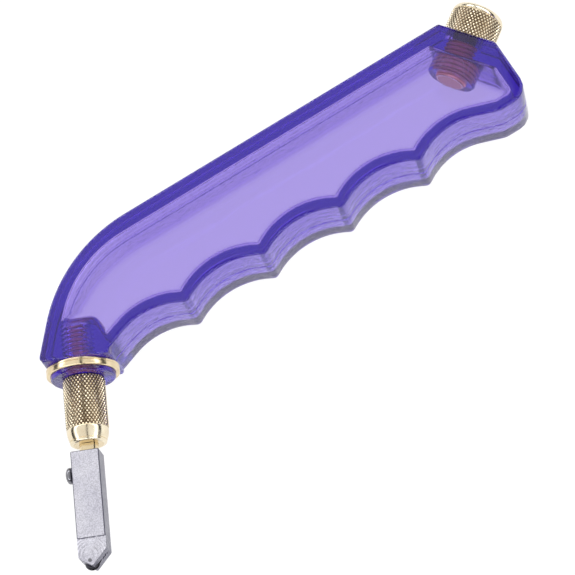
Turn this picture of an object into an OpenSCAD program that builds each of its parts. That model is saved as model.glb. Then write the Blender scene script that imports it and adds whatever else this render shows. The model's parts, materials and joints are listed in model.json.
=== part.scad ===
// Oil-fed glass cutter with a pistol grip.
// Row frame: the grip lies on its flat rear face, which is the plane z = 0. +Z runs across its
// thickness, +X from the nose to the tail, and +Y from the finger scallops to the straight back.
// The origin is at the middle of the rest face. Both screwed pieces are drawn in a frame of their
// own, with z outward along their axis from the facet that they seat on, and y in the plane of
// the grip.

/* [Grip] */
// Thickness of the grip, over both half shells
grip_t = 19.5; // [18:0.5:22]
// Thickness of the side walls, all round the hollow
wall = 3.3; // [3:0.1:3.5]
// Thickness of the two flat panels
panel = 2; // [1.6:0.1:2.4]
// Height of the straight back above the origin
back_y = 15.6; // [15.2:0.1:16]
// Height of the scallops' pointed ridges, before rounding
ridge_y = -15.4; // [-15.5:0.05:-15.2]
// Distance between neighbouring ridges
ridge_pitch = 23.85; // [23.6:0.05:23.9]
// X of the ridge nearest the nose
first_ridge_x = -30.55; // [-30.8:0.05:-30.4]
// Slope of the scallops where they meet a ridge, in degrees
scallop_slope = 31; // [29:0.5:31]
// Slope of the first and last scallops at their outer ends, in degrees
end_slope = 20; // [18:0.5:20]
// Radius of a scallop
scallop_r = 21; // [18:0.5:21]
// Radius of a scallop of the hollow, small enough to leave its ridges whole
inner_scallop_r = 20.8; // [18:0.2:20.8]
// Radius of a rounded ridge
ridge_r = 1.7; // [1:0.1:1.8]
// Radius of the curve from the straight back down to the nose
back_r = 42; // [36:0.5:44]
// Slope of the nose's back edge, in degrees
nose_slope = 50.5; // [49:0.5:52]
// X of the tail's rear edge
rear_x = 74.7; // [74.4:0.1:75]

/* [Nose] */
// Middle of the nose facet
nose = [-63.05, -12.35];
// Direction of the cutting axis, in degrees from +X
nose_angle = 245.8; // [245:0.2:246.4]
// Length of the nose facet from its middle to the back
nose_half = 9.8; // [9.5:0.1:10]
// Length of the nose facet from its middle to the scallops
nose_front = 9.2; // [9.1:0.05:9.4]
// Depth of the solid plastic behind the nose facet
nose_boss = 10.4; // [10:0.2:11]
// X of the side of the nose boss
nose_boss_x = -53.7; // [-54.5:0.1:-53.2]
// Outer radius of the brass ferrule
ferrule_r = 9.7; // [9.5:0.05:9.7]
// Radius of the spigot that the ferrule holds together
spigot_r = 8.6; // [8.4:0.1:8.8]
// Height of the ferrule
ferrule_h = 2.2; // [2:0.1:2.4]
// Height of the spigot, on which the barrel seats
spigot_h = 3.2; // [3:0.1:3.4]

/* [Barrel] */
// Radius of the knurled barrel
barrel_r = 5.65; // [5.4:0.05:6]
// Radius of the barrel's lower end
barrel_end_r = 4.7; // [4.5:0.1:5]
// Distance from the nose facet to the end of the knurled stretch
knurl_end = 17.2; // [16.8:0.1:17.6]
// Distance from the nose facet to the barrel's lower end
barrel_end = 21.2; // [20.8:0.1:21.4]
// Radius of both threaded studs
stud_r = 4.3; // [4:0.05:4.4]
// Length of the barrel's stud behind the facet
barrel_stud = 10; // [9:0.5:11]
// Radius of the oil way through the stud
oil_way_r = 1.7; // [1.4:0.1:2]
// Radius of the spring chamber
chamber_r = 3.5; // [3.4:0.1:3.7]
// Outer radius of the end bush
bush_r = 4; // [3.9:0.1:4.1]
// Length of the end bush
bush_h = 3; // [2.5:0.1:3.4]

/* [Spindle] */
// Radius of the spindle's stem
stem_r = 2.5; // [2.4:0.05:2.6]
// Half width of the stem across its flats
stem_flat = 2; // [1.9:0.05:2.1]
// Half width of the bush's slot across its flats
bush_flat = 2.3; // [2.28:0.01:2.4]
// Radius of the part of the spindle inside the cutter head
socket_r = 2; // [1.8:0.1:2.1]
// Radius of the spring's wire
wire_r = 0.35; // [0.3:0.05:0.4]
// Number of turns of the spring
spring_turns = 6.5; // [5:0.5:8]

/* [Cutter head] */
// Distance from the nose facet to the head's upper face
head_top = 23.4; // [23.2:0.1:24]
// Thickness of the head
head_t = 6.6; // [6:0.1:7]
// Distance from the nose facet to the wheel's axle
axle_at = 53; // [52.9:0.05:53.1]
// Offset of the axle across the head
axle_side = -1.5; // [-1.6:0.1:-1.3]
// Radius of the cutting wheel
wheel_r = 2; // [1.9:0.05:2.1]
// Thickness of the cutting wheel
wheel_t = 1.1; // [1:0.1:1.3]
// Distance from the nose facet to the clamp screw
screw_at = 29; // [28.5:0.1:30]
// Radius of the clamp screw's head
screw_head_r = 2.2; // [2:0.1:2.5]

/* [Filler] */
// Direction of the filler cap's axis, in degrees from +X
filler_angle = 37; // [36:0.5:38]
// Length of the tail facet
facet_len = 16.4; // [16.2:0.1:16.8]
// Distance from the facet's upper corner to the cap's axis
filler_at = 7; // [6.9:0.1:7.2]
// Distance from the tail facet to the end of the filler's tube
filler_boss = 11; // [10.5:0.5:12]
// Depth of the solid plastic behind the tail facet
tail_solid = 6; // [5.6:0.1:6.4]
// Outer radius of the filler's tube
filler_tube_r = 6.6; // [6.2:0.1:6.8]
// Radius of the cap
cap_r = 7.2; // [6.8:0.1:7.3]
// Height of the cap
cap_h = 10.7; // [10:0.1:11]
// Height of the cap's knurled stretch
cap_knurl = 8.3; // [8:0.1:8.6]
// Length of the cap's stud behind the facet
cap_stud = 11.8; // [11:0.2:12.2]
// Depth of the seal's counterbore
seal_depth = 2; // [1.5:0.1:2]
// Radius of the seal's counterbore
seal_r = 5.3; // [5.2:0.1:5.4]

/* [Hidden] */
$fn = 64;
mid = grip_t / 2;        // height of the plane where the two half shells meet
fit = 0.05;              // radial clearance of every running fit
arc_step = 7;            // degrees of turn for each step along a rounded corner
seat_depth = 1.2;        // depth of the barrel seal's counterbore
big = 200;

function unit(v) = v / norm(v);
function toward(angle) = [cos(angle), sin(angle)];
// Where the line through p along u meets the line through q along w
function meet(p, u, q, w) = p + u * cross(q - p, w) / cross(u, w);

// The arc of radius r that rounds the corner b between a and c
function arc(a, b, c, r) =
    let (u = unit(a - b), w = unit(c - b), half = acos(u * w) / 2)
    let (centre = b + unit(u + w) * r / sin(half), start = b + u * r / tan(half) - centre)
    let (turn = (180 - 2 * half) * sign(cross(b - a, c - b)), n = max(2, ceil(abs(turn) / arc_step)))
    [for (i = [0:n]) let (t = turn * i / n)
        centre + [start.x * cos(t) - start.y * sin(t), start.x * sin(t) + start.y * cos(t)]];

// An outline from corners [x, y, radius], listed anticlockwise
function rounded(c) = let (n = len(c)) [for (i = [0:n - 1])
    let (a = c[(i + n - 1) % n], b = c[i], d = c[(i + 1) % n])
    each b.z > 0 ? arc([a.x, a.y], [b.x, b.y], [d.x, d.y], b.z) : [[b.x, b.y]]];

// Corner i of an outline after every edge has moved inward by d
function inset_corner(c, i, d) =
    let (n = len(c), a = flat(c[(i + n - 1) % n]), b = flat(c[i]), e = flat(c[(i + 1) % n]))
    let (u = unit(b - a), w = unit(e - b), convex = cross(u, w) > 0)
    let (p = meet(b + left(u) * d, u, b + left(w) * d, w))
    [p.x, p.y, convex ? max(c[i].z - d, 0.6) : min(c[i].z + d, inner_scallop_r)];
function flat(v) = [v.x, v.y];
function left(v) = [-v.y, v.x];

nose_dir = toward(nose_angle);
nose_across = toward(nose_angle + 90);
filler_dir = toward(filler_angle);
facet_dir = toward(filler_angle - 90);
facet_top = [64.8, back_y];
filler = facet_top + facet_dir * filler_at;

// Scallops: the corner between two ridges, and the outer corners of the first and last scallops
scallop_rise = tan(scallop_slope) * ridge_pitch / 2;
last_ridge_x = first_ridge_x + 3 * ridge_pitch;
belly_start = [-54.1, -14.95];
belly_end = [65.5, -15];
first_scallop = meet(belly_start, toward(end_slope), [first_ridge_x, ridge_y], toward(-scallop_slope));
last_scallop = meet(belly_end, toward(-end_slope), [last_ridge_x, ridge_y], toward(scallop_slope));
back_corner = meet(nose - nose_across * nose_half, toward(nose_slope), [0, back_y], [1, 0]);

function corner(p, r) = [p.x, p.y, r];
OUTER = concat(
    [corner(nose - nose_across * nose_half, 1.2),
     corner(nose + nose_across * nose_front, 0.8),
     corner(belly_start, 0.8),
     corner(first_scallop, scallop_r - 1.5)],
    [for (i = [0:6]) i % 2 == 0
        ? [first_ridge_x + ridge_pitch * i / 2, ridge_y, ridge_r]
        : [first_ridge_x + ridge_pitch * i / 2, ridge_y + scallop_rise, scallop_r]],
    [corner(last_scallop, scallop_r - 2.5),
     corner(belly_end, 6),
     [rear_x, belly_end.y, 5],
     corner(facet_top + facet_dir * facet_len, 2),
     corner(facet_top, 1),
     corner(back_corner, back_r)]);

// The hollow: the outline moved inward by the wall, with the nose and the tail left solid
IN = [for (i = [0:len(OUTER) - 1]) inset_corner(OUTER, i, wall)];
nose_floor = nose - nose_dir * nose_boss;
tail_floor = filler - filler_dir * tail_solid;
CAVITY = concat(
    [corner(meet([nose_boss_x, 0], [0, 1], flat(IN[3]), toward(end_slope)), 0.8)],
    [for (i = [3:13]) IN[i]],
    [corner(meet([rear_x - wall, 0], [0, 1], tail_floor, facet_dir), 1.5),
     corner(meet([0, back_y - wall], [1, 0], tail_floor, facet_dir), 0.8),
     corner(flat(IN[16]), back_r - wall - 5),
     corner(meet(flat(IN[16]), toward(nose_slope), nose_floor, nose_across), 0.8),
     corner(meet([nose_boss_x, 0], [0, 1], nose_floor, nose_across), 1.5)]);

module at_nose() {
    translate([nose.x, nose.y, mid]) rotate([0, 90, nose_angle]) children();
}

module at_filler() {
    translate([filler.x, filler.y, mid]) rotate([0, 90, filler_angle]) children();
}

// A ring or tube between two heights
module tube(r_out, r_in, low, high) {
    rotate_extrude() translate([r_in, low]) square([r_out - r_in, high - low]);
}

module rod(r, low, high) {
    translate([0, 0, low]) cylinder(r = r, h = high - low);
}

// The part of a shape below the middle plane
module lower_half() {
    intersection() {
        children();
        translate([-big, -big, 0]) cube([2 * big, 2 * big, mid]);
    }
}

// The rear half: outer wall, panel, solid nose and tail, and half of the spigot, of the filler's
// tube and of each bore
module half_shell() {
    difference() {
        union() {
            difference() {
                linear_extrude(mid) polygon(rounded(OUTER));
                translate([0, 0, panel]) linear_extrude(mid) polygon(rounded(CAVITY));
            }
            lower_half() at_nose() rod(spigot_r, -1, spigot_h);
            lower_half() at_filler() rod(filler_tube_r, -filler_boss, 1 - tail_solid);
        }
        at_nose() {
            rod(stud_r + fit, -nose_boss - 2, spigot_h + 1);
            rod(seal_r, spigot_h - seat_depth, spigot_h + 1);
        }
        at_filler() {
            rod(stud_r + fit, -filler_boss - 2, 1);
            rod(seal_r, -seal_depth, 1);
        }
    }
}

module back_shell() color([0.5, 0.4, 0.85, 0.55]) half_shell();

module front_shell() {
    color([0.62, 0.52, 0.92, 0.55]) translate([0, 0, grip_t]) mirror([0, 0, 1]) half_shell();
}

// Brass band pressed over the spigot, which holds the shells together at the nose
module nose_ferrule() {
    color("gold") at_nose() tube(ferrule_r, spigot_r, 0, ferrule_h);
}

module barrel_seal() {
    color("black") at_nose() tube(seal_r - 0.1, stud_r + 0.1, spigot_h - seat_depth, spigot_h);
}

chamber_top = spigot_h + 0.3;

// Knurled barrel with its threaded stud, oil way and spring chamber
module barrel() {
    bush_top = barrel_end - bush_h;
    color("goldenrod") at_nose() rotate_extrude() polygon([
        [oil_way_r, -barrel_stud], [stud_r - 0.5, -barrel_stud], [stud_r, 0.5 - barrel_stud],
        [stud_r, spigot_h], [barrel_r, spigot_h], [barrel_r, knurl_end],
        [barrel_end_r, barrel_end], [bush_r, barrel_end], [bush_r, bush_top],
        [chamber_r, bush_top], [chamber_r, chamber_top], [oil_way_r, chamber_top]]);
}

// Bush that keeps the spindle in: its slot bears on the spindle's flats and limits the swivel
module end_bush() {
    color("khaki") at_nose() difference() {
        rod(bush_r, barrel_end - bush_h, barrel_end);
        intersection() {
            rod(stem_r + fit, 0, big / 4);
            translate([-bush_flat, -stem_r - 1, 0]) cube([2 * bush_flat, 2 * stem_r + 2, big / 4]);
        }
    }
}

shoulder_top = barrel_end - bush_h - 2.5;    // upper face of the spindle's shoulder
washer_t = 0.4;
oil_hole_r = 0.6;
socket_end = head_top + 7.7;                 // bottom of the head's socket

// Spindle: guide for the spring, shoulder, flatted stem, and the part that the head clamps on
module spindle() {
    color("darkgoldenrod") at_nose() difference() {
        union() {
            rod(1.8, shoulder_top - 3.5, shoulder_top + 0.5);
            rod(3.3, shoulder_top, shoulder_top + 1.5);
            rod(stem_r, shoulder_top + 1, barrel_end - bush_h);
            intersection() {
                rod(stem_r, barrel_end - bush_h - 0.5, head_top);
                translate([-stem_flat, -big / 2, 0]) cube([2 * stem_flat, big, big]);
            }
            rod(socket_r, head_top - 0.5, socket_end);
        }
        rod(oil_hole_r, 0, big / 2);
        rod(1.2, 0, shoulder_top + 0.5);
    }
}

// Round seal under the shoulder: it closes on the bush until the wheel is pressed
module spindle_seal() {
    ring = 0.48;
    color("black") at_nose() translate([0, 0, barrel_end - bush_h - 0.5])
        rotate_extrude() translate([stem_r + 0.5, 0]) circle(r = ring, $fn = 32);
}

module spring_washer() {
    color("silver") at_nose() tube(3.3, 1.9, shoulder_top - washer_t, shoulder_top);
}

// One ring of the spring's wire, at a fraction t of its length
spring_low = chamber_top + wire_r;
spring_high = shoulder_top - washer_t - wire_r;
spring_r = 2.85;
wire_sides = 8;
spring_rings = ceil(spring_turns * 18);
function wire_ring(t) = let (a = 360 * spring_turns * t, z = spring_low + (spring_high - spring_low) * t)
    [for (k = [0:wire_sides - 1]) let (w = 360 * k / wire_sides, r = spring_r + wire_r * cos(w))
        [r * cos(a), r * sin(a), z + wire_r * sin(w)]];

module spindle_spring() {
    last = spring_rings * wire_sides;
    sides = [for (i = [0:spring_rings - 1], k = [0:wire_sides - 1])
        let (a = i * wire_sides, b = (k + 1) % wire_sides)
        [a + k, a + wire_sides + k, a + wire_sides + b, a + b]];
    ends = [[for (k = [0:wire_sides - 1]) k], [for (k = [wire_sides - 1:-1:0]) last + k]];
    color("silver") at_nose() polyhedron(
        points = [for (i = [0:spring_rings]) each wire_ring(i / spring_rings)],
        faces = concat(sides, ends));
}

// Felt wick that carries the oil from the grip to the spindle
module oil_wick() {
    color("white") at_nose() rod(1.1, 0.4 - barrel_stud, shoulder_top - 2);
}

// Head blank: a flat block with an uneven point, wider on the clamp screw's side
head_outline = [[-4.5, head_top], [3.1, head_top], [3.1, 50.2], [-0.9, 54.5], [-4.5, 52.2]];

module cutter_head() {
    axle_r = 0.45;
    slot = wheel_t + 2 * fit;
    slot_top = axle_at - wheel_r - 0.25;
    color("lightsteelblue") at_nose() difference() {
        rotate([0, 90, 0]) translate([0, 0, -head_t / 2]) linear_extrude(head_t)
            polygon([for (p = head_outline) [-p.y, p.x]]);
        rod(socket_r, 0, socket_end);
        rod(oil_hole_r, 0, slot_top + 0.5);
        translate([-slot / 2, -big / 2, slot_top]) cube([slot, big, big]);
        translate([0, axle_side, axle_at]) rotate([0, 90, 0]) cylinder(r = axle_r, h = big, center = true);
        translate([0, 0, screw_at]) rotate([90, 0, 0]) cylinder(r = 1.2 + fit, h = big);
    }
}

module wheel_axle() {
    color("dimgray") at_nose() translate([0, axle_side, axle_at]) rotate([0, 90, 0])
        cylinder(r = 0.45, h = head_t, center = true);
}

// Carbide wheel with a V edge
module wheel() {
    edge = wheel_t / 2;
    color("darkslategray") at_nose() translate([0, axle_side, axle_at]) rotate([0, 90, 0])
        rotate_extrude() polygon([[0.45 + fit, -edge], [wheel_r - 0.5, -edge], [wheel_r, 0],
            [wheel_r - 0.5, edge], [0.45 + fit, edge]]);
}

// Side screw that clamps the head on the spindle
module clamp_screw() {
    head_in = 5;
    head_out = 6.7;
    color("dimgray") at_nose() translate([0, 0, screw_at]) rotate([90, 0, 0]) difference() {
        rotate_extrude() polygon([[0, socket_r + fit], [1.2, socket_r + fit], [1.2, head_in],
            [screw_head_r, head_in], [screw_head_r, head_in + 0.8], [1.7, head_out - 0.3],
            [0.9, head_out], [0, head_out]]);
        translate([-0.3, -big / 2, head_out - 0.7]) cube([0.6, big, 1]);
    }
}

module filler_seal() {
    color("black") at_filler() tube(seal_r - 0.1, stud_r + 0.1, -seal_depth + 0.1, 0);
}

// Knurled filler cap with its threaded stud
module filler_cap() {
    color("gold") at_filler() rotate_extrude() polygon([
        [0, -cap_stud], [stud_r - 0.5, -cap_stud], [stud_r, 0.5 - cap_stud], [stud_r, 0],
        [cap_r, 0], [cap_r, cap_knurl], [cap_r - 0.7, cap_h - 0.9], [cap_r - 2.2, cap_h], [0, cap_h]]);
}

front_shell();
back_shell();
nose_ferrule();
barrel_seal();
barrel();
end_bush();
oil_wick();
spring_washer();
spindle_spring();
spindle();
spindle_seal();
cutter_head();
wheel_axle();
wheel();
clamp_screw();
filler_seal();
filler_cap();
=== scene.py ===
"""Looks of the oil-fed glass cutter with a pistol grip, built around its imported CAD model.

Lengths in this script are in millimetres until a mesh is made, and every mesh is in metres.
Two working frames are used: z outward along the cutting axis from the nose facet, and z outward
along the filler cap's axis from the tail facet. y lies in the plane of the grip in both.
"""
import json
import math

import bmesh
import bpy
from mathutils import Matrix, Vector

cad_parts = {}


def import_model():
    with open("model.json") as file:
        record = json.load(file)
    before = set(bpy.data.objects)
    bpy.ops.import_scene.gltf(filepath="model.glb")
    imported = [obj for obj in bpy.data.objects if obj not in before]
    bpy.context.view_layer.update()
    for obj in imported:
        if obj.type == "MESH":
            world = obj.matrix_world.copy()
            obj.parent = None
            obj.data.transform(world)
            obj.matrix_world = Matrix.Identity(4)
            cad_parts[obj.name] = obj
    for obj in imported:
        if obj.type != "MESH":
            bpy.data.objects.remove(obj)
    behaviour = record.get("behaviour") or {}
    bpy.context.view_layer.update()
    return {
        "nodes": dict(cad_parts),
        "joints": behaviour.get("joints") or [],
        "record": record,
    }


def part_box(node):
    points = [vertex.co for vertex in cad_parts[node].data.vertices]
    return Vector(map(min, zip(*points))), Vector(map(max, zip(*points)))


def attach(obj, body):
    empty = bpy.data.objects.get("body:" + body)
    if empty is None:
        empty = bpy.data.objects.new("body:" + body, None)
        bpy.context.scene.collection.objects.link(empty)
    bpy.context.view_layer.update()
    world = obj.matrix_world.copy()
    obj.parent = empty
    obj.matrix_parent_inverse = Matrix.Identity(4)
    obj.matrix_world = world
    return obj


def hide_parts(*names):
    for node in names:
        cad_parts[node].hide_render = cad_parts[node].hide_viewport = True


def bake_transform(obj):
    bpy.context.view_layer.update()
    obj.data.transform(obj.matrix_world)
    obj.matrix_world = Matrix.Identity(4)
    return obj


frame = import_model()

MM = 0.001
JOINTS = {joint["name"]: joint for joint in frame["joints"]}
GRIP_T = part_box("front_shell")[1][2] / MM
MID = GRIP_T / 2


# ---------------------------------------------------------------- places

def working_frame(joint_name):
    """Matrix from a millimetre frame, with z along a joint's axis, to the row frame in metres."""
    joint = JOINTS[joint_name]
    z = Vector(joint["axis"]).normalized()
    x = Vector((0, 0, -1))
    turn = Matrix((x, z.cross(x), z)).transposed().to_4x4()
    return Matrix.Translation(Vector(joint["pos_m"])) @ turn @ Matrix.Scale(MM, 4)


AT_NOSE = working_frame("barrel_turn")
AT_FILLER = working_frame("cap_turn")
AT_ROW = Matrix.Scale(MM, 4)


# ---------------------------------------------------------------- outlines

def toward(angle):
    return Vector((math.cos(math.radians(angle)), math.sin(math.radians(angle))))


def cross(u, w):
    return u.x * w.y - u.y * w.x


def meet(p, u, q, w):
    """Where the line through p along u meets the line through q along w."""
    return p + u * cross(q - p, w) / cross(u, w)


def rounded(corners, steps):
    """Points of a closed outline from corners (point, radius), with steps[i] steps at corner i."""
    points = []
    count = len(corners)
    for i, (b, r) in enumerate(corners):
        a, d = corners[i - 1][0], corners[(i + 1) % count][0]
        u, w = (a - b).normalized(), (d - b).normalized()
        half = math.acos(max(-1, min(1, u.dot(w)))) / 2
        centre = b + (u + w).normalized() * r / math.sin(half)
        start = b + u * r / math.tan(half) - centre
        turn = math.copysign(math.pi - 2 * half, cross(b - a, d - b))
        for k in range(steps[i] + 1):
            t = turn * k / steps[i]
            points.append(centre + Vector((start.x * math.cos(t) - start.y * math.sin(t),
                                           start.x * math.sin(t) + start.y * math.cos(t))))
    return points


def inset(corners, d, least=0.02):
    """The corners of an anticlockwise outline after every edge has moved inward by d."""
    moved = []
    count = len(corners)
    for i, (b, r) in enumerate(corners):
        a, e = corners[i - 1][0], corners[(i + 1) % count][0]
        u, w = (b - a).normalized(), (e - b).normalized()
        p = meet(b + Vector((-u.y, u.x)) * d, u, b + Vector((-w.y, w.x)) * d, w)
        moved.append((p, max(r - d, least) if cross(u, w) > 0 else r + d))
    return moved


WALL, PANEL = 3.3, 2
BACK_Y, REAR_X = 15.6, 74.7
RIDGE_Y, RIDGE_PITCH, FIRST_RIDGE_X = -15.4, 23.85, -30.55
SCALLOP_SLOPE, END_SLOPE, SCALLOP_R, INNER_SCALLOP_R, RIDGE_R = 31, 20, 21, 20.8, 1.7
BELLY_START, BELLY_END = Vector((-54.1, -14.95)), Vector((65.5, -15))
BACK_R, NOSE_SLOPE, NOSE_HALF, NOSE_FRONT = 42, 50.5, 9.8, 9.2
NOSE_BOSS, NOSE_BOSS_X, FILLER_BOSS, TAIL_SOLID, FILLER_TUBE_R = 10.4, -53.7, 11, 6, 6.6
FACET_TOP, FACET_LEN = Vector((64.8, BACK_Y)), 16.4
HOLLOW_BACK_R = BACK_R - WALL - 6.5    # small enough for the fillet round the hollow's floor

nose = Vector(JOINTS["barrel_turn"]["pos_m"][:2]) / MM
nose_dir = Vector(JOINTS["barrel_turn"]["axis"][:2])
nose_across = Vector((-nose_dir.y, nose_dir.x))
filler = Vector(JOINTS["cap_turn"]["pos_m"][:2]) / MM
filler_dir = Vector(JOINTS["cap_turn"]["axis"][:2])
facet_dir = Vector((filler_dir.y, -filler_dir.x))


def grip_corners():
    """The grip's outline and its hollow, as corners (point, radius)."""
    along, up = Vector((1, 0)), Vector((0, 1))
    first_ridge = Vector((FIRST_RIDGE_X, RIDGE_Y))
    last_ridge = first_ridge + along * 3 * RIDGE_PITCH
    rise = math.tan(math.radians(SCALLOP_SLOPE)) * RIDGE_PITCH / 2
    first_scallop = meet(BELLY_START, toward(END_SLOPE), first_ridge, toward(-SCALLOP_SLOPE))
    last_scallop = meet(BELLY_END, toward(-END_SLOPE), last_ridge, toward(SCALLOP_SLOPE))
    ridges = [(first_ridge + Vector((RIDGE_PITCH * i / 2, rise if i % 2 else 0)),
               SCALLOP_R if i % 2 else RIDGE_R) for i in range(7)]
    nose_back = nose - nose_across * NOSE_HALF
    back = meet(nose_back, toward(NOSE_SLOPE), FACET_TOP, along)
    outer = [(nose_back, 1.2), (nose + nose_across * NOSE_FRONT, 0.8), (BELLY_START, 0.8),
             (first_scallop, SCALLOP_R - 1.5)] + ridges + [
        (last_scallop, SCALLOP_R - 2.5), (BELLY_END, 6), (Vector((REAR_X, BELLY_END.y)), 5),
        (FACET_TOP + facet_dir * FACET_LEN, 2), (FACET_TOP, 1), (back, BACK_R)]
    # the hollow keeps the outline's corners from the first scallop to the tail's lower corner
    inner = [(p, min(r, INNER_SCALLOP_R)) for p, r in inset(outer, WALL, 0.6)]
    belly, inner_back = inner[3:-3], inner[-1][0]
    nose_side, nose_floor = Vector((NOSE_BOSS_X, 0)), nose - nose_dir * NOSE_BOSS
    tail_floor = filler - filler_dir * TAIL_SOLID
    cavity = [(meet(nose_side, up, belly[0][0], toward(END_SLOPE)), 0.8)] + belly + [
        (meet(Vector((REAR_X - WALL, 0)), up, tail_floor, facet_dir), 1.5),
        (meet(Vector((0, BACK_Y - WALL)), along, tail_floor, facet_dir), 0.8),
        (inner_back, HOLLOW_BACK_R),
        (meet(inner_back, toward(NOSE_SLOPE), nose_floor, nose_across), 0.8),
        (meet(nose_side, up, nose_floor, nose_across), 1.5)]
    return outer, cavity


# ---------------------------------------------------------------- mesh helpers

def new_object(name, bm, place=AT_ROW, sharp=35):
    """A mesh object from a bmesh in a working frame, with edges over sharp degrees kept sharp."""
    bmesh.ops.remove_doubles(bm, verts=bm.verts, dist=1e-4)
    bmesh.ops.recalc_face_normals(bm, faces=bm.faces)
    mesh = bpy.data.meshes.new(name)
    bm.to_mesh(mesh)
    bm.free()
    mesh.transform(place)
    for polygon in mesh.polygons:
        polygon.use_smooth = True
    mesh.set_sharp_from_angle(angle=math.radians(sharp))
    obj = bpy.data.objects.new(name, mesh)
    bpy.context.scene.collection.objects.link(obj)
    return obj


def stack(rings, around=False):
    """A bmesh skin over rings of points: capped at both ends, or joined around into a ring."""
    bm = bmesh.new()
    levels = [[bm.verts.new(p) for p in ring] for ring in rings]
    pairs = list(zip(levels, levels[1:]))
    if around:
        pairs.append((levels[-1], levels[0]))
    for low, high in pairs:
        count = len(low)
        for k in range(count):
            n = (k + 1) % count
            bm.faces.new((low[k], low[n], high[n], high[k]))
    if not around:
        bm.faces.new(levels[0][::-1])
        bm.faces.new(levels[-1])
    return bm


def prism(corners, steps, levels):
    """A bmesh solid over an outline, from levels (inset, height)."""
    return stack([[Vector((p.x, p.y, z)) for p in rounded(inset(corners, d), steps)]
                  for d, z in levels])


def lathe(profile, around=96, closed=False):
    """A bmesh turned from stations (radius, height); a radius may depend on (angle, height)."""
    rings = []
    for r, z in profile:
        ring = []
        for k in range(around):
            t = 2 * math.pi * k / around
            rr = r(t, z) if callable(r) else r
            ring.append(Vector((rr * math.cos(t), rr * math.sin(t), z)))
        rings.append(ring)
    return stack(rings, around=closed)


def combine(obj, operation, tools):
    """Takes the tools' solids out of obj or adds them to it, and deletes the tools."""
    for tool in tools:
        modifier = obj.modifiers.new(operation.lower(), "BOOLEAN")
        modifier.operation = operation
        modifier.solver = "EXACT"
        modifier.object = tool
    bake(obj)
    for tool in tools:
        bpy.data.objects.remove(tool)


def cut(obj, *tools):
    combine(obj, "DIFFERENCE", tools)


def join_solid(obj, *tools):
    combine(obj, "UNION", tools)


def bake(obj):
    """Applies obj's modifiers to its mesh."""
    bpy.context.view_layer.update()
    evaluated = obj.evaluated_get(bpy.context.evaluated_depsgraph_get())
    mesh = bpy.data.meshes.new_from_object(evaluated)
    obj.modifiers.clear()
    obj.data = mesh


def rod(name, r, low, high, place, around=96):
    """A plain cylinder between two heights of a working frame, to cut with."""
    return new_object(name, lathe([(r, low), (r, high)], around), place)


# ---------------------------------------------------------------- materials

def shader(name, color=(0.8, 0.8, 0.8), **values):
    """A Principled material with constant inputs, and its node tree."""
    material = bpy.data.materials.new(name)
    material.use_nodes = True
    node = material.node_tree.nodes["Principled BSDF"]
    node.inputs["Base Color"].default_value = (*color, 1)
    for key, value in values.items():
        node.inputs[key.replace("_", " ")].default_value = value
    return material, material.node_tree, node


def add(tree, kind, **values):
    """A node of a kind, with its properties and inputs set."""
    node = tree.nodes.new("ShaderNode" + kind)
    for key, value in values.items():
        if hasattr(node, key):
            setattr(node, key, value)
        else:
            node.inputs[key.replace("_", " ")].default_value = value
    return node


def noise(tree, scale, detail=4, roughness=0.5):
    """A noise texture in the piece's own space, with scale in features per metre."""
    place = add(tree, "TexCoord")
    texture = add(tree, "TexNoise", Scale=scale, Detail=detail, Roughness=roughness)
    tree.links.new(place.outputs["Object"], texture.inputs["Vector"])
    return texture.outputs["Fac"]


def ramp(tree, value, *stops):
    """A colour ramp from stops (position, colour)."""
    node = add(tree, "ValToRGB")
    elements = node.color_ramp.elements
    while len(elements) < len(stops):
        elements.new(1)
    for element, (position, color) in zip(elements, stops):
        element.position = position
        element.color = (*color, 1)
    tree.links.new(value, node.inputs["Fac"])
    return node.outputs["Color"]


def grey(level):
    return (level, level, level)


def bump(tree, node, height, distance):
    """Bumps a shader's normal by a height from 0 to 1, times a distance in metres."""
    bumper = add(tree, "Bump", Distance=distance)
    tree.links.new(height, bumper.inputs["Height"])
    tree.links.new(bumper.outputs["Normal"], node.inputs["Normal"])


def multiply(tree, first, second):
    """The product of two colours."""
    mix = add(tree, "Mix", data_type="RGBA", blend_type="MULTIPLY")
    mix.inputs["Factor"].default_value = 1
    tree.links.new(first, mix.inputs["A"])
    tree.links.new(second, mix.inputs["B"])
    return mix.outputs["Result"]


GLOW = 9                            # painted glow: light that the tinted plastic gives off from its volume, per metre, standing for the light it scatters
STUD_LIGHT = (0.20, 0.09, 0.08)     # painted glow on the threaded studs, standing for light that the plastic scatters onto them


def violet_plastic():
    """Clear violet acrylic: the colour is mostly in its volume, which also holds a painted glow,
    and the surface is faintly wavy.
    """
    material, tree, node = shader("violet_plastic", (0.94, 0.93, 0.99), IOR=1.49,
                                  Transmission_Weight=1)
    absorb = add(tree, "VolumeAbsorption", Density=295)
    absorb.inputs["Color"].default_value = (0.36, 0.19, 0.80, 1)
    # painted glow: an emission through the volume, though the plastic is no lamp
    glow = add(tree, "Emission", Strength=GLOW)
    glow.inputs["Color"].default_value = (0.55, 0.34, 1, 1)
    both = add(tree, "AddShader")
    tree.links.new(absorb.outputs["Volume"], both.inputs[0])
    tree.links.new(glow.outputs["Emission"], both.inputs[1])
    tree.links.new(both.outputs["Shader"], tree.nodes["Material Output"].inputs["Volume"])
    haze = ramp(tree, noise(tree, 260, 6), (0.45, grey(0)), (0.8, grey(0.03)))    # patchy polish
    tree.links.new(haze, node.inputs["Roughness"])
    # the flat panels are almost free of waves
    place = add(tree, "TexCoord")
    facing = add(tree, "SeparateXYZ")
    flatness = add(tree, "Math", operation="POWER")
    flatness.inputs[1].default_value = 2
    tree.links.new(place.outputs["Normal"], facing.inputs[0])
    tree.links.new(facing.outputs["Z"], flatness.inputs[0])
    wall = ramp(tree, flatness.outputs["Value"], (0, grey(1)), (0.9, grey(0.08)))
    waves = multiply(tree, noise(tree, 520, 6, roughness=0.62), wall)
    bump(tree, node, waves, 0.0002)
    return material


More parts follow.
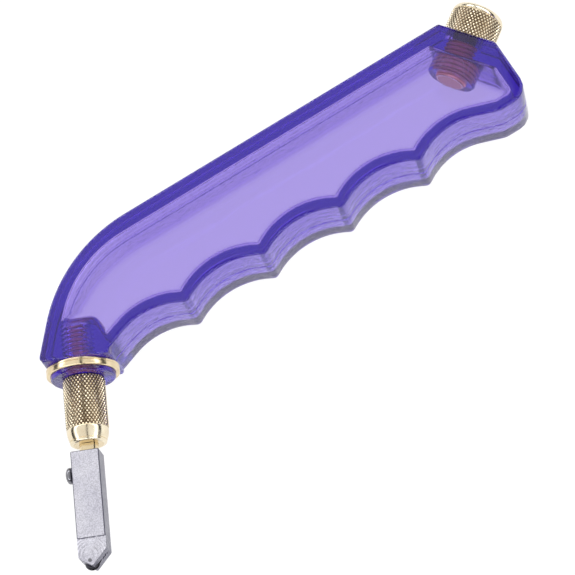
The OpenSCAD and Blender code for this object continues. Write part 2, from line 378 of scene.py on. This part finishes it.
def attribute(tree, name):
    """A value that the mesh holds at each point."""
    return add(tree, "Attribute", attribute_name=name).outputs["Fac"]


def metal(name, light, dark, low, high, grain=1500, grain_depth=0.000004, groove=None, stud=None):
    """A metal whose colour and roughness (low to high) vary, with fine grain.

    Where a piece is marked, its grooves are darkened by groove, a painted shade, and its studs are
    tarnished by stud and given a painted glow."""
    material, tree, node = shader(name, light, Metallic=1)
    color = ramp(tree, noise(tree, 180, 5), (0.3, dark), (0.62, light))
    if groove:
        # painted shade: the deeper in a groove, the darker
        depth = attribute(tree, "groove")
        color = multiply(tree, color, ramp(tree, depth, (0.3, grey(1)), (0.8, groove)))
        tarnish_and_glow = attribute(tree, "stud")
        color = multiply(tree, color, ramp(tree, tarnish_and_glow, (0, grey(1)), (1, stud)))
        tree.links.new(ramp(tree, tarnish_and_glow, (0, grey(1)), (1, grey(0.45))), node.inputs["Metallic"])
        # painted glow: the studs give off STUD_LIGHT, tinted by their colour
        lit = multiply(tree, color, ramp(tree, tarnish_and_glow, (0, grey(0)), (1, STUD_LIGHT)))
        tree.links.new(lit, node.inputs["Emission Color"])
        node.inputs["Emission Strength"].default_value = 1
    tree.links.new(color, node.inputs["Base Color"])
    polish = ramp(tree, noise(tree, 700, 5), (0.3, grey(low)), (0.7, grey(high)))
    tree.links.new(polish, node.inputs["Roughness"])
    bump(tree, node, noise(tree, grain, 4), grain_depth)
    return material


def satin_steel():
    """Satin nickel, with fans of cutter marks round the wheel's axle."""
    material = metal("satin_steel", (0.80, 0.79, 0.87), (0.68, 0.67, 0.76), 0.26, 0.42, grain=2600,
                     grain_depth=0.00003)
    tree = material.node_tree
    node = tree.nodes["Principled BSDF"]
    fine = node.inputs["Normal"].links[0].from_node
    place = add(tree, "TexCoord")
    facing = add(tree, "SeparateXYZ")
    broad = add(tree, "Math", operation="ABSOLUTE")
    tree.links.new(place.outputs["Normal"], facing.inputs[0])
    tree.links.new(facing.outputs["Z"], broad.inputs[0])
    # painted shade: the sides are dark, and only the two broad faces are bright
    painted_side_shade = ramp(tree, broad.outputs["Value"], (0, (0.30, 0.30, 0.34)), (0.6, (0.16, 0.16, 0.19)),
                  (0.93, (0.14, 0.14, 0.17)), (0.985, grey(1)))
    speckle = ramp(tree, noise(tree, 3400, 3), (0.38, grey(0.72)), (0.6, grey(1)))
    color = multiply(tree, node.inputs["Base Color"].links[0].from_socket, painted_side_shade)
    tree.links.new(multiply(tree, color, speckle), node.inputs["Base Color"])
    # the fans: ripples centred near the axle that fade out at the step
    centre = add(tree, "VectorMath", operation="SUBTRACT")
    centre.inputs[1].default_value = AT_NOSE @ Vector((0, AXLE_SIDE, AXLE_AT - 1.5))
    rings = add(tree, "TexWave", wave_type="RINGS", rings_direction="SPHERICAL", Scale=560,
                Distortion=0.8, Detail=2)
    zone = add(tree, "VectorMath", operation="LENGTH")
    near = add(tree, "MapRange", clamp=True)
    for socket, value in (("From Min", 0.0055), ("From Max", 0.0075), ("To Min", 1), ("To Max", 0)):
        near.inputs[socket].default_value = value
    height = add(tree, "Math", operation="MULTIPLY")
    second = add(tree, "Bump", Distance=0.00005)
    tree.links.new(place.outputs["Object"], centre.inputs[0])
    tree.links.new(centre.outputs["Vector"], rings.inputs["Vector"])
    tree.links.new(centre.outputs["Vector"], zone.inputs[0])
    tree.links.new(zone.outputs["Value"], near.inputs["Value"])
    tree.links.new(rings.outputs["Fac"], height.inputs[0])
    tree.links.new(near.outputs["Result"], height.inputs[1])
    tree.links.new(height.outputs["Value"], second.inputs["Height"])
    tree.links.new(fine.outputs["Normal"], second.inputs["Normal"])
    tree.links.new(second.outputs["Normal"], node.inputs["Normal"])
    return material


def rubber():
    material, tree, node = shader("black_rubber", (0.02, 0.02, 0.022), Roughness=0.5)
    color = ramp(tree, noise(tree, 500), (0.3, grey(0.012)), (0.7, grey(0.03)))
    tree.links.new(color, node.inputs["Base Color"])
    bump(tree, node, noise(tree, 3000, 3), 0.00001)
    return material


def felt():
    material, tree, node = shader("felt", (0.85, 0.83, 0.78), Roughness=0.95, Sheen_Weight=0.4)
    color = ramp(tree, noise(tree, 900, 6), (0.3, (0.7, 0.68, 0.62)), (0.7, (0.9, 0.88, 0.83)))
    tree.links.new(color, node.inputs["Base Color"])
    bump(tree, node, noise(tree, 4000, 6), 0.00006)
    return material


AXLE_AT, AXLE_SIDE = 53, -1.5    # the wheel's axle: distance from the nose facet, and offset

MATERIALS = {
    "violet_plastic": violet_plastic(),
    "brass": metal("brass", (0.83, 0.69, 0.45), (0.66, 0.52, 0.32), 0.12, 0.24),
    # groove: painted shade in the grooves; stud: the studs' tarnish, which also sets their painted
    # glow
    "knurled_brass": metal("knurled_brass", (0.90, 0.81, 0.62), (0.78, 0.66, 0.47), 0.12, 0.26,
                           groove=(0.19, 0.14, 0.11), stud=(1, 0.62, 0.58)),
    "satin_steel": satin_steel(),
    "steel": metal("steel", (0.62, 0.62, 0.64), (0.5, 0.5, 0.52), 0.2, 0.4),
    "spring_steel": metal("spring_steel", (0.5, 0.5, 0.52), (0.36, 0.36, 0.38), 0.2, 0.35),
    "dark_steel": metal("dark_steel", (0.34, 0.34, 0.37), (0.18, 0.18, 0.20), 0.05, 0.16),
    "carbide": metal("carbide", (0.10, 0.10, 0.115), (0.05, 0.05, 0.06), 0.12, 0.3),
    "black_rubber": rubber(),
    "felt": felt(),
}


def finish_piece(obj, body, slot, *nodes):
    """Gives a piece its material, its body, and the CAD nodes that it stands for."""
    obj.data.materials.clear()
    obj.data.materials.append(MATERIALS[slot])
    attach(obj, body)
    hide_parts(*nodes)


# ---------------------------------------------------------------- grip

EDGE_R = 0.9         # rounded edge of each flat face
FLOOR_R = 1.8        # fillet round the hollow's floor
SEAM_LAP = 0.004     # each half reaches this far past the middle, so that light passes the seam
SEAM_CHAMFER, INNER_CHAMFER = 0.38, 0.25    # of the seam's outer and inner edges
SPIGOT_R, SPIGOT_H, FERRULE_R, FERRULE_H = 8.6, 3.2, 9.7, 2.2
STUD_R, SEAL_R, SEAL_SEAT, FILLER_SEAT = 4.3, 5.3, 1.2, 2
THREAD_PITCH, THREAD_DEPTH = 1.25, 0.55
NOSE_PLAY, FILLER_PLAY = 0.05, -0.01    # an air gap shows in the nose, and none in the filler
FAR = 200            # past every piece


def quarter(steps):
    """Pairs (1 - sine, 1 - cosine) along a quarter circle."""
    for k in range(steps + 1):
        angle = math.pi / 2 * k / steps
        yield 1 - math.sin(angle), 1 - math.cos(angle)


def box(name, low, high, place=AT_ROW):
    """A block between two corners of a working frame."""
    bm = bmesh.new()
    bmesh.ops.create_cube(bm, size=1)
    for vert in bm.verts:
        for axis in range(3):
            vert.co[axis] = high[axis] if vert.co[axis] > 0 else low[axis]
    return new_object(name, bm, place)


def lower_half(obj, top):
    """Keeps only what lies below a height."""
    cut(obj, box("above", (-FAR, -FAR, top), (FAR, FAR, FAR)))
    return obj


def grip_blank():
    """The rear half shell without its bores, with its spigot, filler tube and rounded edges."""
    outer, cavity = grip_corners()
    top = MID + SEAM_LAP
    outer_steps, inner_steps = [[max(3, round(r / 1.2)) for _, r in corners]
                                for corners in (outer, cavity)]
    outside = [(EDGE_R * a, EDGE_R * b) for a, b in quarter(6)]
    outside += [(0, top - SEAM_CHAMFER), (SEAM_CHAMFER, top)]
    shell = new_object("grip_blank", prism(outer, outer_steps, outside))
    hollow = [(FLOOR_R * a, PANEL + FLOOR_R * b) for a, b in quarter(8)]
    hollow += [(0, top - INNER_CHAMFER), (-INNER_CHAMFER, top), (-INNER_CHAMFER, MID + 1)]
    cut(shell, new_object("hollow", prism(cavity, inner_steps, hollow)))
    spigot = [(SPIGOT_R, -1), (SPIGOT_R, SPIGOT_H - 0.3), (SPIGOT_R - 0.3, SPIGOT_H)]
    tube = [(FILLER_TUBE_R - 0.5, -FILLER_BOSS), (FILLER_TUBE_R, 0.5 - FILLER_BOSS),
            (FILLER_TUBE_R, 1 - TAIL_SOLID)]
    join_solid(shell, lower_half(new_object("spigot", lathe(spigot, 128), AT_NOSE), top),
               lower_half(new_object("filler_tube", lathe(tube), AT_FILLER), top))
    return shell


def half_grip(name, node, blank):
    """A half shell: the blank with its tapped holes and the seats of the seals."""
    nose_tap = thread(STUD_R + NOSE_PLAY, THREAD_PITCH, THREAD_DEPTH,
                      -NOSE_BOSS - 2, SPIGOT_H - 0.6)
    filler_tap = thread(STUD_R + FILLER_PLAY, THREAD_PITCH, THREAD_DEPTH, -FILLER_BOSS - 2, -1)
    cut(blank,
        new_object("nose_tap", lathe(nose_tap), AT_NOSE),
        rod("nose_seat", SEAL_R, SPIGOT_H - SEAL_SEAT, SPIGOT_H + 1, AT_NOSE),
        new_object("filler_tap", lathe(filler_tap), AT_FILLER),
        rod("filler_seat", SEAL_R, -FILLER_SEAT, 1, AT_FILLER))
    blank.name = name
    for polygon in blank.data.polygons:    # the flat panels stay flat to their edges
        polygon.use_smooth = abs(polygon.normal.z) < 0.9999
    blank.data.set_sharp_from_angle(angle=math.radians(30))
    finish_piece(blank, "handle", "violet_plastic", node)


def thread(radius, pitch, depth, low, high):
    """Stations of a V thread with a flattened crest, run out at both ends."""
    crest, flank = 0.12, 0.75    # shares of the way from a crest to the middle of the groove

    def r(t, z):
        groove = abs(2 * ((z / pitch - t / (2 * math.pi)) % 1) - 1)
        end = min(z - low, high - z)
        return min(radius - depth * max(0, min(1, (groove - crest) / flank)), radius - depth + end)
    rows = round((high - low) / (pitch / 8))
    return [(r, low + (high - low) * k / rows) for k in range(rows + 1)]


rear = grip_blank()
front = rear.copy()
front.data = rear.data.copy()
bpy.context.scene.collection.objects.link(front)
front.data.transform(Matrix.Translation((0, 0, GRIP_T * MM)) @ Matrix.Scale(-1, 4, (0, 0, 1)))
front.data.flip_normals()
half_grip("back_shell_moulding", "back_shell", rear)
half_grip("front_shell_moulding", "front_shell", front)


# ---------------------------------------------------------------- turned pieces

def turned(corners, around=128, steps=5):
    """A bmesh ring turned from a closed section with corners (radius, height, rounding)."""
    corners = [(Vector((r, z)), rounding) for r, z, rounding in corners]
    section = rounded(corners, [steps] * len(corners))
    return lathe([(p.x, p.y) for p in section], around, closed=True)


KNURL_LEAD, KNURL_DEPTH, KNURL_CHAMFER = 1.35, 0.36, 0.35
TOOTH_SAMPLES = 8    # for each tooth of a knurl, round and along


def zigzag(x):
    """Rises from 0 to 1 and falls to 0 again as x grows by 1."""
    return 1 - abs(2 * (x % 1) - 1)


def knurl(radius, teeth, low, high):
    """Stations of a diamond knurl with slightly flattened crests."""
    def r(t, z):
        turn = teeth * t / (2 * math.pi)
        ridge = min(zigzag(turn + z / KNURL_LEAD), zigzag(turn - z / KNURL_LEAD))
        end = min(z - low, high - z)
        return min(radius - KNURL_DEPTH * (1 - min(1, ridge / 0.85)), radius - KNURL_CHAMFER + end)
    rows = round((high - low) / (KNURL_LEAD / TOOTH_SAMPLES))
    return [(r, low + (high - low) * k / rows) for k in range(rows + 1)]


def merge(name, *parts):
    """One object from bmeshes in a working frame: parts are (bmesh, place, marks).

    A mark (low, high, crest, depth, stud) covers what lies between two heights: a point is as deep
    in a groove as it is below the crest radius, over depth, which sets its painted shade, and stud
    says how tarnished it is and how much painted glow it takes."""
    bm = bmesh.new()
    for part, place, marks in parts:
        bmesh.ops.remove_doubles(part, verts=part.verts, dist=1e-4)
        bmesh.ops.recalc_face_normals(part, faces=part.faces)
        groove = part.verts.layers.float.new("groove")
        tarnish_and_glow = part.verts.layers.float.new("stud")
        for vert in part.verts:
            for low, high, crest, depth, stud in marks:
                if low <= vert.co.z <= high:
                    below = crest - math.hypot(vert.co.x, vert.co.y)
                    vert[groove] = max(0, min(1, below / depth))
                    vert[tarnish_and_glow] = stud
        part.transform(place)
        mesh = bpy.data.meshes.new("part")
        part.to_mesh(mesh)
        part.free()
        bm.from_mesh(mesh)
        bpy.data.meshes.remove(mesh)
    mesh = bpy.data.meshes.new(name)
    bm.to_mesh(mesh)
    bm.free()
    for polygon in mesh.polygons:
        polygon.use_smooth = True
    mesh.set_sharp_from_angle(angle=math.radians(32))
    obj = bpy.data.objects.new(name, mesh)
    bpy.context.scene.collection.objects.link(obj)
    return obj


BARREL_R, BARREL_TEETH, KNURL_END, BARREL_END, BARREL_STUD = 5.65, 36, 17.2, 21.2, 10
BUSH_R, BUSH_H, CHAMBER_R, OIL_WAY_R, CHAMBER_TOP = 4, 3, 3.5, 1.7, SPIGOT_H + 0.3
WIRE_R, SPRING_R, SPRING_TURNS = 0.35, 2.85, 6.5
TURN_RINGS, WIRE_SIDES = 24, 10
GROOVE_SHADE = THREAD_DEPTH * 1.5    # depth at which a thread's groove would be fully dark


def barrel():
    """The barrel: knurled, with a polished end, a spring chamber, and a bored threaded stud."""
    outside = [(BARREL_R - 0.5, SPIGOT_H)]
    outside += knurl(BARREL_R, BARREL_TEETH, SPIGOT_H + 0.1, KNURL_END)
    # polished end: curved taper, fine groove, rounded lip
    outside += [(5.5, 17.3), (5.56, 17.45), (5.5, 18.2), (5.36, 19), (5.14, 19.8), (4.93, 20.35),
                (4.78, 20.4), (4.78, 20.55), (4.88, 20.6), (4.84, 20.85), (4.72, 21.05),
                (4.5, 21.18), (4.3, BARREL_END)]
    inside = [(BUSH_R, BARREL_END), (BUSH_R, BARREL_END - BUSH_H), (CHAMBER_R, BARREL_END - BUSH_H),
              (CHAMBER_R, CHAMBER_TOP), (OIL_WAY_R, CHAMBER_TOP), (OIL_WAY_R, SPIGOT_H)]
    stud = [(OIL_WAY_R, -BARREL_STUD), (OIL_WAY_R + 0.6, -BARREL_STUD)]
    stud += thread(STUD_R, THREAD_PITCH, THREAD_DEPTH, 0.05 - BARREL_STUD, SPIGOT_H - SEAL_SEAT)
    stud += [(STUD_R - 0.6, SPIGOT_H + 0.05), (OIL_WAY_R, SPIGOT_H + 0.05)]
    body = lathe(outside + inside, BARREL_TEETH * TOOTH_SAMPLES, closed=True)
    # marks: the grooves of knurl and thread take painted shade, and the threaded stud takes its
    # tarnish and painted glow
    knurled = (SPIGOT_H, KNURL_END, BARREL_R, KNURL_DEPTH, 0)
    threaded = (-BARREL_STUD, SPIGOT_H, STUD_R, GROOVE_SHADE, 1)
    obj = merge("knurled_barrel", (body, AT_NOSE, [knurled]),
                (lathe(stud, closed=True), AT_NOSE, [threaded]))
    finish_piece(obj, "barrel", "knurled_brass", "barrel")


CAP_R, CAP_TEETH, CAP_H, CAP_KNURL, CAP_STUD = 7.2, 44, 10.7, 8.3, 11.8


def filler_cap():
    """The cap: knurled, with a domed top, and a threaded stud with a flat end."""
    outside = [(CAP_R - 0.7, 0)] + knurl(CAP_R, CAP_TEETH, 0.05, CAP_KNURL)
    outside += [(CAP_R - 0.2, CAP_KNURL + 0.1)]
    outside += [(4.6 + (CAP_R - 4.7) * math.cos(a), 8.5 + 1.95 * math.sin(a))
                for a in (math.pi / 2 * k / 8 for k in range(9))]
    outside += [(3, 10.56), (1.5, 10.66), (0.3, CAP_H)]
    stud = [(STUD_R - 1, -CAP_STUD)]
    stud += thread(STUD_R, THREAD_PITCH, THREAD_DEPTH, 0.05 - CAP_STUD, -0.4)
    stud += [(STUD_R - 0.6, 0.1)]
    # where the grooves lie, for their painted shade, and the flat end of the stud, darker towards
    # its middle, with most of the studs' tarnish and painted glow
    knurled = (0, CAP_KNURL, CAP_R, KNURL_DEPTH, 0)
    threaded = (0.06 - CAP_STUD, 0, STUD_R, GROOVE_SHADE, 1)
    end_disc = (-CAP_STUD - 0.01, 0.01 - CAP_STUD, 3.8, 1, 0.8)
    body = lathe(outside, CAP_TEETH * TOOTH_SAMPLES)
    obj = merge("knurled_filler_cap", (body, AT_FILLER, [knurled]),
                (lathe(stud), AT_FILLER, [threaded, end_disc]))
    finish_piece(obj, "filler_cap", "knurled_brass", "filler_cap")


def ferrule():
    """The brass band, with a fine groove turned round it."""
    groove = 0.8
    section = [(SPIGOT_R, 0, 0.1), (FERRULE_R, 0, 0.35), (FERRULE_R, groove - 0.12, 0.04),
               (FERRULE_R - 0.16, groove, 0.03), (FERRULE_R, groove + 0.12, 0.04),
               (FERRULE_R, FERRULE_H, 0.4), (SPIGOT_R, FERRULE_H, 0.1)]
    obj = new_object("brass_ferrule", turned(section, 192), AT_NOSE)
    finish_piece(obj, "handle", "brass", "nose_ferrule")


def ring(low, high, rounding):
    """A seal round a stud, between two heights."""
    inner, outer = STUD_R + 0.1, SEAL_R - 0.1
    return turned([(inner, low, rounding), (outer, low, rounding),
                   (outer, high, rounding), (inner, high, rounding)])


def seals():
    obj = new_object("barrel_seal_ring", ring(SPIGOT_H - SEAL_SEAT, SPIGOT_H, 0.3), AT_NOSE)
    finish_piece(obj, "barrel_seal", "black_rubber", "barrel_seal")
    obj = new_object("filler_seal_ring", ring(0.1 - FILLER_SEAT, 0, 0.35), AT_FILLER)
    finish_piece(obj, "filler_seal", "black_rubber", "filler_seal")


def height_of(node):
    """Least height of a CAD node along the cutting axis, from the nose facet."""
    to_nose = AT_NOSE.inverted()
    return min((to_nose @ vert.co).z for vert in frame["nodes"][node].data.vertices)


def spring():
    """The spindle's spring: one end stays on the barrel's floor, the other reaches the washer."""
    low, high = CHAMBER_TOP, height_of("spring_washer")
    count = round(SPRING_TURNS * TURN_RINGS)
    wire = []
    for i in range(count + 1):
        turn = 2 * math.pi * SPRING_TURNS * i / count
        middle = low + WIRE_R + (high - low - 2 * WIRE_R) * i / count
        section = []
        for k in range(WIRE_SIDES):
            t = 2 * math.pi * k / WIRE_SIDES
            r, z = SPRING_R + WIRE_R * math.cos(t), middle + WIRE_R * math.sin(t)
            section.append(Vector((r * math.cos(turn), r * math.sin(turn), z)))
        wire.append(section)
    obj = new_object("coiled_spindle_spring", stack(wire), AT_NOSE, 60)
    obj.data.materials.append(MATERIALS["spring_steel"])
    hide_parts("spindle_spring")
    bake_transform(obj)


barrel()
filler_cap()
ferrule()
seals()
spring()


# ---------------------------------------------------------------- cutter head

HEAD_TOP, HEAD_T, STEP_AT, STEP_DEPTH = 23.4, 6.6, 46.9, 0.25
WHEEL_R, WHEEL_T, SCREW_R, SCREW_AT = 2, 1.1, 2.2, 29
HEAD_OUTLINE = ((-4.5, HEAD_TOP), (3.1, HEAD_TOP), (3.1, 50.2), (-0.9, 54.5), (-4.5, 52.2))
AT_SCREW = AT_NOSE @ Matrix.Translation((0, 0, SCREW_AT)) @ Matrix.Rotation(math.pi / 2, 4, "X")
AT_WHEEL = (AT_NOSE @ Matrix.Translation((0, AXLE_SIDE, AXLE_AT))
            @ Matrix.Rotation(math.pi / 2, 4, "Y"))


def cutter_head():
    """The block: a step and a groove on both faces, a wheel slot, a socket and a screw hole."""
    bm = bmesh.new()
    sides = [[bm.verts.new((x, q, s)) for q, s in HEAD_OUTLINE] for x in (-HEAD_T / 2, HEAD_T / 2)]
    for k in range(len(HEAD_OUTLINE)):
        bm.faces.new((sides[0][k], sides[0][k - 1], sides[1][k - 1], sides[1][k]))
    bm.faces.new(sides[0])
    bm.faces.new(sides[1])
    bmesh.ops.bevel(bm, geom=bm.edges[:], offset=0.35, segments=3, profile=0.5, affect="EDGES")
    obj = new_object("satin_cutter_head", bm, AT_NOSE, 30)
    slot, across, end = WHEEL_T / 2 + 0.05, 20, 60
    face = HEAD_T / 2 - STEP_DEPTH
    groove, groove_end = face - 0.25, STEP_AT + 0.3
    cut(obj, box("near_step", (-face - 2, -across, STEP_AT), (-face, across, end), AT_NOSE),
        box("far_step", (face, -across, STEP_AT), (face + 2, across, end), AT_NOSE),
        box("near_groove", (-face - 2, -across, STEP_AT), (-groove, across, groove_end), AT_NOSE),
        box("far_groove", (groove, -across, STEP_AT), (face + 2, across, groove_end), AT_NOSE),
        box("wheel_slot", (-slot, -across, AXLE_AT - WHEEL_R - 0.25), (slot, across, end), AT_NOSE),
        rod("socket", 2.05, HEAD_TOP - 2, HEAD_TOP + 7.7, AT_NOSE, 64),
        rod("screw_hole", 1.25, 1, 8, AT_SCREW, 48))
    obj.data.set_sharp_from_angle(angle=math.radians(30))
    weighted = obj.modifiers.new("even_normals", "WEIGHTED_NORMAL")
    weighted.keep_sharp = True
    finish_piece(obj, "spindle", "satin_steel", "cutter_head")


def wheel():
    """Carbide wheel with a V edge."""
    edge = WHEEL_T / 2
    section = [(0.5, -edge, 0.05), (WHEEL_R - 0.5, -edge, 0.05), (WHEEL_R, 0, 0.02),
               (WHEEL_R - 0.5, edge, 0.05), (0.5, edge, 0.05)]
    obj = new_object("carbide_wheel", turned(section, 96, 3), AT_WHEEL, 25)
    finish_piece(obj, "wheel", "carbide", "wheel")


def clamp_screw():
    """Domed slotted screw on the side of the head."""
    shank = [(0.8, 2.1)] + thread(1.2, 0.5, 0.22, 2.15, 4.9) + [(0.9, 5.05)]
    head = [(SCREW_R - 0.3, 5), (SCREW_R - 0.1, 5.06), (SCREW_R, 5.25), (SCREW_R, 5.6)]
    head += [(SCREW_R * math.cos(a), 5.6 + 1.1 * math.sin(a))
             for a in (math.pi / 2 * k / 9 for k in range(1, 9))]
    head += [(0.05, 6.7)]
    obj = merge("slotted_clamp_screw", (lathe(shank, 48), AT_SCREW, []),
                (lathe(head), AT_SCREW, []))
    cut(obj, box("slot", (-0.3, -5, 6), (0.3, 5, 9), AT_SCREW))
    obj.data.set_sharp_from_angle(angle=math.radians(32))
    finish_piece(obj, "clamp_screw", "dark_steel", "clamp_screw")


cutter_head()
wheel()
clamp_screw()

# these CAD nodes keep their shape, and take the material of their slot
SLOTS = {part["node"]: part["material_slot"] for part in frame["record"]["subparts"]}
for node in ("end_bush", "oil_wick", "spring_washer", "spindle", "spindle_seal", "wheel_axle"):
    data = frame["nodes"][node].data
    data.materials.clear()
    data.materials.append(MATERIALS[SLOTS[node]])


# ---------------------------------------------------------------- stage

LENS, SENSOR, DISTANCE, ROLL = 177.2, 36, 0.733, 31.25
FLOOR_TOP, FLOOR_SIZE, FLOOR_LIGHT = -0.2, 3000, 0.93
SKY_LIGHT = 3.6


def camera():
    """The camera looks down at the lying grip, from the scallops' side and rolled to the left."""
    lean_x, lean_y = -0.042, -0.373    # of the direction back to the camera, from upright
    back_dir = Vector((lean_x, lean_y, math.sqrt(1 - lean_x ** 2 - lean_y ** 2)))
    side = Vector((1, 0, 0))
    side = (side - back_dir * side.dot(back_dir)).normalized()
    up = back_dir.cross(side)
    roll = math.radians(ROLL)
    right = side * math.cos(roll) - up * math.sin(roll)
    top = side * math.sin(roll) + up * math.cos(roll)
    target = Vector((-6.5, -26.8, 19.5)) * MM
    data = bpy.data.cameras.new("camera")
    data.sensor_width = SENSOR
    data.lens = LENS
    data.clip_start = 0.01
    obj = bpy.data.objects.new("camera", data)
    facing = Matrix((right, top, back_dir)).transposed().to_4x4()
    obj.matrix_world = Matrix.Translation(target + back_dir * DISTANCE) @ facing
    bpy.context.scene.collection.objects.link(obj)
    bpy.context.scene.camera = obj


def floor():
    """A pale light table: it glows a little, so clear pieces show their own colour."""
    obj = box("floor", (-FLOOR_SIZE, -FLOOR_SIZE, -5), (FLOOR_SIZE, FLOOR_SIZE, FLOOR_TOP))
    material, tree, node = shader("floor", grey(0.12), Roughness=1)
    node.inputs["Emission Color"].default_value = (1, 1, 1, 1)
    node.inputs["Emission Strength"].default_value = FLOOR_LIGHT
    obj.data.materials.append(material)


def world():
    """A soft overhead light with a dark gap along the barrel, and a bright ring with dark below."""
    scene = bpy.context.scene
    scene.world = bpy.data.worlds.new("world")
    scene.world.use_nodes = True
    tree = scene.world.node_tree
    direction = add(tree, "TexCoord")
    across = add(tree, "VectorMath", operation="DOT_PRODUCT")
    across.inputs[1].default_value = (*(nose_across / 2), 0)
    shift = add(tree, "Math", operation="ADD")
    shift.inputs[1].default_value = 0.5
    height = add(tree, "SeparateXYZ")
    tree.links.new(direction.outputs["Generated"], across.inputs[0])
    tree.links.new(across.outputs["Value"], shift.inputs[0])
    tree.links.new(direction.outputs["Generated"], height.inputs[0])
    # across the barrel the light is even, but for a narrow dark gap that its metal mirrors
    gap = ramp(tree, shift.outputs["Value"], (0.03, grey(0.3)), (0.12, grey(1)),
               (0.52, grey(1)), (0.54, grey(0.02)), (0.585, grey(0.02)), (0.61, grey(1)),
               (0.9, grey(1)), (0.98, grey(0.3)))
    # with height: dark to 0.25, the bright ring from 0.44 to 0.56, and an even light above it
    rise = ramp(tree, height.outputs["Z"], (0.25, grey(0.02)), (0.4, grey(0.75)),
                (0.44, grey(1)), (0.56, grey(1)), (0.62, grey(0.26)), (1, grey(0.28)))
    background = tree.nodes["Background"]
    tree.links.new(multiply(tree, gap, rise), background.inputs["Color"])
    background.inputs["Strength"].default_value = SKY_LIGHT
    scene.view_settings.view_transform = "Standard"


camera()
floor()
world()
